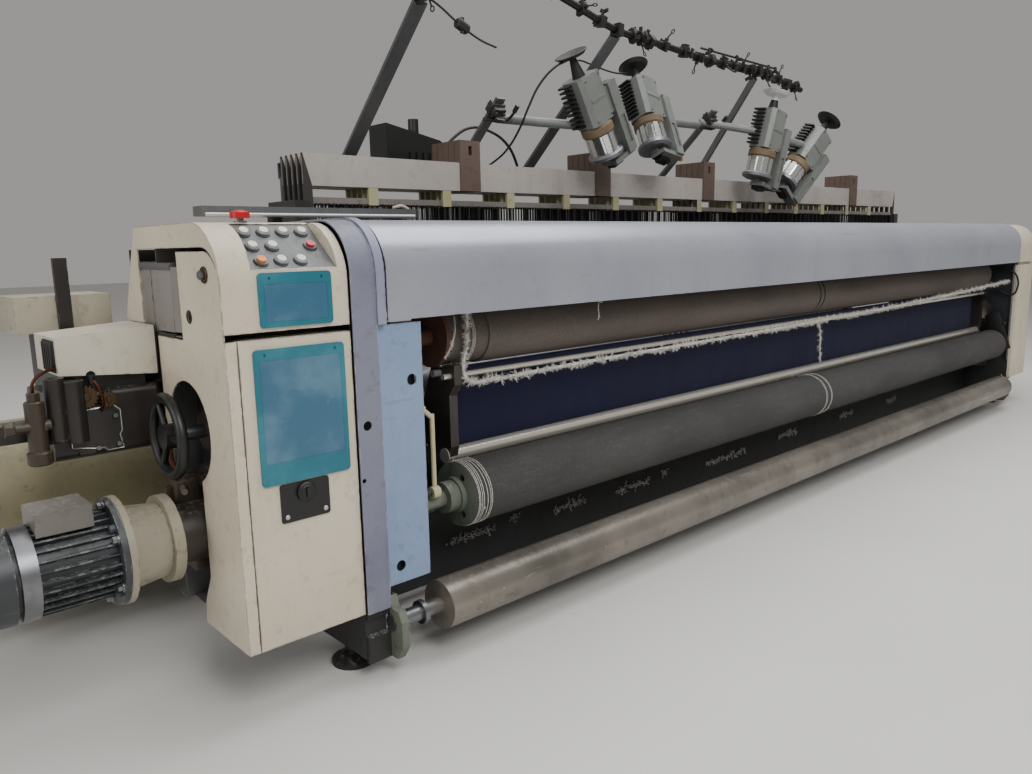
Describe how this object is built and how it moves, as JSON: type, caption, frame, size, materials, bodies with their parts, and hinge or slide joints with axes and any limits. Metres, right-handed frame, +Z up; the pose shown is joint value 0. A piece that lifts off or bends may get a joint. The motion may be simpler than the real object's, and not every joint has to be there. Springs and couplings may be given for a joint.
{
  "type": "weaving loom",
  "caption": "Wide projectile weaving loom with control column, side motor, hand wheel, cloth rollers, heald frames, reed and weft feeders on a rail.",
  "frame": {"origin": "centre of the bounding box on the floor", "axes": "+X along the loom towards the receiving side, +Y towards the warp beam, +Z up"},
  "size_m": [6.7, 1.9397, 2.1184],
  "materials": {
    "cast_frame_dark": "dark blue-grey machine paint on cast iron, dusty",
    "beam_paint": "dark blue-grey machine paint, dusty",
    "black_iron": "black paint, worn",
    "blue_panel": "light blue paint, scuffed",
    "silver_cover": "silver-grey metallic paint, satin",
    "grey_blue_paint": "blue-grey machine paint, chipped edges",
    "cream_paint": "cream machine paint, grimy edges",
    "anodised_plate": "dull anodised plate",
    "teal_plastic": "teal moulded frame, scuffed",
    "clear_film": "clear film over a sheet, scratched",
    "grey_paint": "grey paint",
    "dark_iron": "oily dark cast iron",
    "motor_paint": "dark grey motor paint, bright cap",
    "white_paint": "off-white paint, dusty",
    "beige_paint": "beige paint, oily",
    "bright_steel": "ground and chromed bar",
    "pale_green_paint": "pale green paint, worn",
    "navy_cloth": "navy woven cloth",
    "white_rope": "fuzzy white yarn waste",
    "grey_steel": "grey painted steel",
    "pipe_steel": "dull steel pipe",
    "feeder_shell": "light grey painted die casting",
    "black_box": "black housing",
    "light_alloy": "dull aluminium",
    "reed_steel": "thin steel dents",
    "black_plastic": "black moulded plastic",
    "copper_roller": "copper-brown emery cover",
    "sand_cover": "grey rubber-cork cover",
    "tube_steel": "blue-grey painted steel tube",
    "beam_alloy": "cast aluminium",
    "cream_lever": "cream painted rod",
    "red_plastic": "red moulded plastic",
    "red_cap": "red push cap",
    "orange_cap": "orange push cap",
    "white_cap": "white push cap"
  },
  "bodies": {
    "base": {"frame_left": "cast_frame_dark", "frame_right": "cast_frame_dark", "cross_beams": "beam_paint", "machine_feet": "black_iron", "end_panel": "blue_panel", "breast_cover": "silver_cover", "end_cover": "grey_blue_paint", "column_side": "cream_paint", "column_door": "cream_paint", "column_head": "cream_paint", "control_plates": "anodised_plate", "card_pockets": "teal_plastic", "pocket_windows": "clear_film", "column_core": "grey_paint", "drive_housing": "dark_iron", "motor": "motor_paint", "motor_adaptor": "cream_paint", "picking_unit": "dark_iron", "picking_cover": "white_paint", "shedding_housing": "beige_paint", "receiving_column": "cream_paint", "receiving_unit": "white_paint", "roller_bearings": "beam_paint", "tension_bars": "bright_steel", "bar_brackets": "dark_iron", "beam_brackets": "pale_green_paint", "cloth_web": "navy_cloth", "waste_rope": "white_rope", "heald_guides": "dark_iron", "stop_motion": "grey_paint", "feeder_stand": "grey_steel", "guide_pipe": "pipe_steel", "weft_feeders": "feeder_shell", "power_box": "black_box"},
    "hand_wheel": {"hand_wheel": "black_plastic"},
    "take_up_roller": {"take_up_roller": "copper_roller"},
    "sand_roller": {"sand_roller": "sand_cover"},
    "cloth_tube": {"cloth_tube": "tube_steel"},
    "warp_beam": {"warp_beam": "beam_alloy"},
    "back_rest": {"back_rest": "bright_steel"},
    "lever": {"lever": "cream_lever"},
    "sley": {"sley": "light_alloy", "reed": "reed_steel"},
    "stop_button": {"stop_button": "red_plastic"},
    "selector_knob": {"selector_knob": "black_plastic"},
    "heald_frame_1": {"heald_frame_1": "light_alloy"},
    "heald_frame_2": {"heald_frame_2": "light_alloy"},
    "heald_frame_3": {"heald_frame_3": "light_alloy"},
    "heald_frame_4": {"heald_frame_4": "light_alloy"},
    "heald_frame_5": {"heald_frame_5": "light_alloy"},
    "button_1": {"button_1": "white_cap"},
    "button_2": {"button_2": "white_cap"},
    "button_3": {"button_3": "white_cap"},
    "button_4": {"button_4": "white_cap"},
    "button_5": {"button_5": "white_cap"},
    "button_6": {"button_6": "white_cap"},
    "button_7": {"button_7": "red_cap"},
    "button_8": {"button_8": "orange_cap"},
    "button_9": {"button_9": "white_cap"},
    "button_10": {"button_10": "white_cap"}
  },
  "joints": [
    {"name": "hand_wheel_turn", "type": "hinge", "parent": "base", "child": "hand_wheel", "pos_m": [-2.85, -0.64, 0.698], "axis": [1, 0, 0], "continuous": true},
    {"name": "take_up_roller_turn", "type": "hinge", "parent": "base", "child": "take_up_roller", "pos_m": [0, -0.692, 0.878], "axis": [1, 0, 0], "continuous": true},
    {"name": "sand_roller_turn", "type": "hinge", "parent": "base", "child": "sand_roller", "pos_m": [0, -0.813, 0.42], "axis": [1, 0, 0], "continuous": true},
    {"name": "cloth_tube_turn", "type": "hinge", "parent": "base", "child": "cloth_tube", "pos_m": [0, -0.9, 0.148], "axis": [1, 0, 0], "continuous": true},
    {"name": "warp_beam_turn", "type": "hinge", "parent": "base", "child": "warp_beam", "pos_m": [0, 0.57, 0.47], "axis": [1, 0, 0], "continuous": true},
    {"name": "back_rest_turn", "type": "hinge", "parent": "base", "child": "back_rest", "pos_m": [0, 0.6, 1.054], "axis": [1, 0, 0], "continuous": true},
    {"name": "lever_turn", "type": "hinge", "parent": "base", "child": "lever", "pos_m": [-2.211, -0.85, 0.458], "axis": [1, 0, 0], "range_deg": [-20, 20]},
    {"name": "sley_turn", "type": "hinge", "parent": "base", "child": "sley", "pos_m": [0, -0.215, 0.85], "axis": [1, 0, 0], "range_deg": [-8, 12]},
    {"name": "heald_frame_1_slide", "type": "slide", "parent": "base", "child": "heald_frame_1", "axis": [0, 0, 1], "range_m": [-0.05, 0.05]},
    {"name": "heald_frame_2_slide", "type": "slide", "parent": "base", "child": "heald_frame_2", "axis": [0, 0, 1], "range_m": [-0.05, 0.05]},
    {"name": "heald_frame_3_slide", "type": "slide", "parent": "base", "child": "heald_frame_3", "axis": [0, 0, 1], "range_m": [-0.05, 0.05]},
    {"name": "heald_frame_4_slide", "type": "slide", "parent": "base", "child": "heald_frame_4", "axis": [0, 0, 1], "range_m": [-0.05, 0.05]},
    {"name": "heald_frame_5_slide", "type": "slide", "parent": "base", "child": "heald_frame_5", "axis": [0, 0, 1], "range_m": [-0.05, 0.05]},
    {"name": "stop_button_slide", "type": "slide", "parent": "base", "child": "stop_button", "axis": [0, 0, 1], "range_m": [-0.005, 0]},
    {"name": "selector_knob_turn", "type": "hinge", "parent": "base", "child": "selector_knob", "pos_m": [-2.632, -0.904, 0.568], "axis": [0, -1, 0], "range_deg": [0, 90]},
    {"name": "button_1_slide", "type": "slide", "parent": "base", "child": "button_1", "axis": [0, -0.624, 0.7814], "range_m": [-0.004, 0], "stiffness_N_per_m": 400, "springref_m": 0.002},
    {"name": "button_2_slide", "type": "slide", "parent": "base", "child": "button_2", "axis": [0, -0.624, 0.7814], "range_m": [-0.004, 0], "stiffness_N_per_m": 400, "springref_m": 0.002},
    {"name": "button_3_slide", "type": "slide", "parent": "base", "child": "button_3", "axis": [0, -0.624, 0.7814], "range_m": [-0.004, 0], "stiffness_N_per_m": 400, "springref_m": 0.002},
    {"name": "button_4_slide", "type": "slide", "parent": "base", "child": "button_4", "axis": [0, -0.624, 0.7814], "range_m": [-0.004, 0], "stiffness_N_per_m": 400, "springref_m": 0.002},
    {"name": "button_5_slide", "type": "slide", "parent": "base", "child": "button_5", "axis": [0, -0.624, 0.7814], "range_m": [-0.004, 0], "stiffness_N_per_m": 400, "springref_m": 0.002},
    {"name": "button_6_slide", "type": "slide", "parent": "base", "child": "button_6", "axis": [0, -0.624, 0.7814], "range_m": [-0.004, 0], "stiffness_N_per_m": 400, "springref_m": 0.002},
    {"name": "button_7_slide", "type": "slide", "parent": "base", "child": "button_7", "axis": [0, -0.624, 0.7814], "range_m": [-0.004, 0], "stiffness_N_per_m": 400, "springref_m": 0.002},
    {"name": "button_8_slide", "type": "slide", "parent": "base", "child": "button_8", "axis": [0, -0.624, 0.7814], "range_m": [-0.004, 0], "stiffness_N_per_m": 400, "springref_m": 0.002},
    {"name": "button_9_slide", "type": "slide", "parent": "base", "child": "button_9", "axis": [0, -0.624, 0.7814], "range_m": [-0.004, 0], "stiffness_N_per_m": 400, "springref_m": 0.002},
    {"name": "button_10_slide", "type": "slide", "parent": "base", "child": "button_10", "axis": [0, -0.624, 0.7814], "range_m": [-0.004, 0], "stiffness_N_per_m": 400, "springref_m": 0.002}
  ]
}
